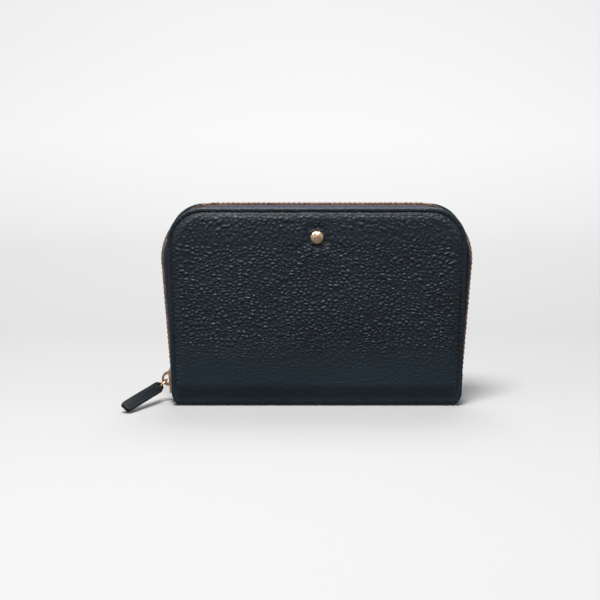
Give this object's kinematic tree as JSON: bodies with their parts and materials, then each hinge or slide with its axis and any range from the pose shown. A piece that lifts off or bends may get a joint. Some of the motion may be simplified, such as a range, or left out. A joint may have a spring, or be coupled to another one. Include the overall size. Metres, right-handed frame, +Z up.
{
  "type": "card holder",
  "caption": "Small zip-around leather card holder with padded covers, stepped card slots and a zipped coin pocket.",
  "frame": {"origin": "middle of the underside of the spine, on the surface that the holder stands on", "axes": "+Z up along the covers, +X along the width, front cover with the stud towards -Y"},
  "size_m": [0.1557, 0.0382, 0.0906],
  "materials": {
    "navy_leather": "pebbled full-grain, semi-matte, turned edges",
    "puller_leather": "two plies with painted edges, semi-matte",
    "card_leather": "smooth, semi-matte",
    "lining_leather": "smooth suede-backed lining",
    "zip_tape": "woven herringbone tape",
    "navy_thread": "waxed polyester thread",
    "foam": "thin dense foam",
    "board": "bonded leather board",
    "rose_gold_metal": "polished rose-gold plate"
  },
  "bodies": {
    "spine": {"spine_leather": "navy_leather", "spine_board": "board", "spine_lining": "lining_leather", "coin_gusset": "lining_leather", "coin_stops": "rose_gold_metal", "coin_tape_back": "zip_tape", "coin_tape_front": "zip_tape", "coin_teeth_back": "rose_gold_metal", "coin_teeth_front": "rose_gold_metal", "coin_wall_back": "lining_leather", "coin_wall_front": "lining_leather"},
    "front_cover": {"front_board": "board", "front_card_panel": "card_leather", "front_card_slot_1": "card_leather", "front_card_slot_2": "card_leather", "front_card_slot_3": "card_leather", "front_card_slot_4": "card_leather", "front_edge_stitches": "navy_thread", "front_leather": "navy_leather", "front_lining": "lining_leather", "front_padding": "foam", "front_slot_stitches": "navy_thread", "front_teeth": "rose_gold_metal", "front_teeth_left": "rose_gold_metal", "front_top_stop": "rose_gold_metal", "front_zip_tape": "zip_tape", "stud_cap": "rose_gold_metal", "stud_washer": "rose_gold_metal"},
    "back_cover": {"back_board": "board", "back_card_panel": "card_leather", "back_card_slot_1": "card_leather", "back_card_slot_2": "card_leather", "back_card_slot_3": "card_leather", "back_card_slot_4": "card_leather", "back_edge_stitches": "navy_thread", "back_leather": "navy_leather", "back_lining": "lining_leather", "back_padding": "foam", "back_slot_stitches": "navy_thread", "back_teeth": "rose_gold_metal", "back_teeth_left": "rose_gold_metal", "back_top_stop": "rose_gold_metal", "back_zip_tape": "zip_tape", "zip_bottom_stop": "rose_gold_metal"},
    "zip_slider": {"slider_body": "rose_gold_metal", "slider_bridge": "rose_gold_metal"},
    "pull_ring": {"pull_ring": "rose_gold_metal"},
    "pull_tab": {"tab_front_leather": "puller_leather", "tab_back_leather": "puller_leather", "tab_stitches": "navy_thread"},
    "coin_slider": {"coin_slider": "rose_gold_metal", "coin_slider_lug": "rose_gold_metal"},
    "coin_puller": {"coin_puller": "rose_gold_metal"}
  },
  "joints": [
    {"name": "front_cover_fold", "type": "hinge", "parent": "spine", "child": "front_cover", "pos_m": [0, -0.01, 0.002], "axis": [1, 0, 0], "range_deg": [0, 90]},
    {"name": "back_cover_fold", "type": "hinge", "parent": "spine", "child": "back_cover", "pos_m": [0, 0.01, 0.002], "axis": [-1, 0, 0], "range_deg": [0, 90]},
    {"name": "zip_slide", "type": "slide", "parent": "back_cover", "child": "zip_slider", "axis": [-0.0715, 0, 0.9974], "range_m": [0, 0.045], "deforming": ["front_teeth_left", "back_teeth_left"]},
    {"name": "ring_swing", "type": "hinge", "parent": "zip_slider", "child": "pull_ring", "pos_m": [-0.06792, 0, 0.00995], "axis": [0, 1, 0], "range_deg": [0, 40]},
    {"name": "tab_swing", "type": "hinge", "parent": "pull_ring", "child": "pull_tab", "pos_m": [-0.07134, -0.00229, 0.00717], "axis": [-0.6357, 0.5736, -0.5166], "range_deg": [0, 20]},
    {"name": "coin_zip_slide", "type": "slide", "parent": "spine", "child": "coin_slider", "axis": [1, 0, 0], "range_m": [0, 0.1]},
    {"name": "coin_puller_swing", "type": "hinge", "parent": "coin_slider", "child": "coin_puller", "pos_m": [-0.051, 0, 0.07815], "axis": [0, -1, 0], "range_deg": [0, 65]}
  ],
  "couplings": [
    {"joint": "back_cover_fold", "follows": "front_cover_fold", "ratio": 1}
  ]
}
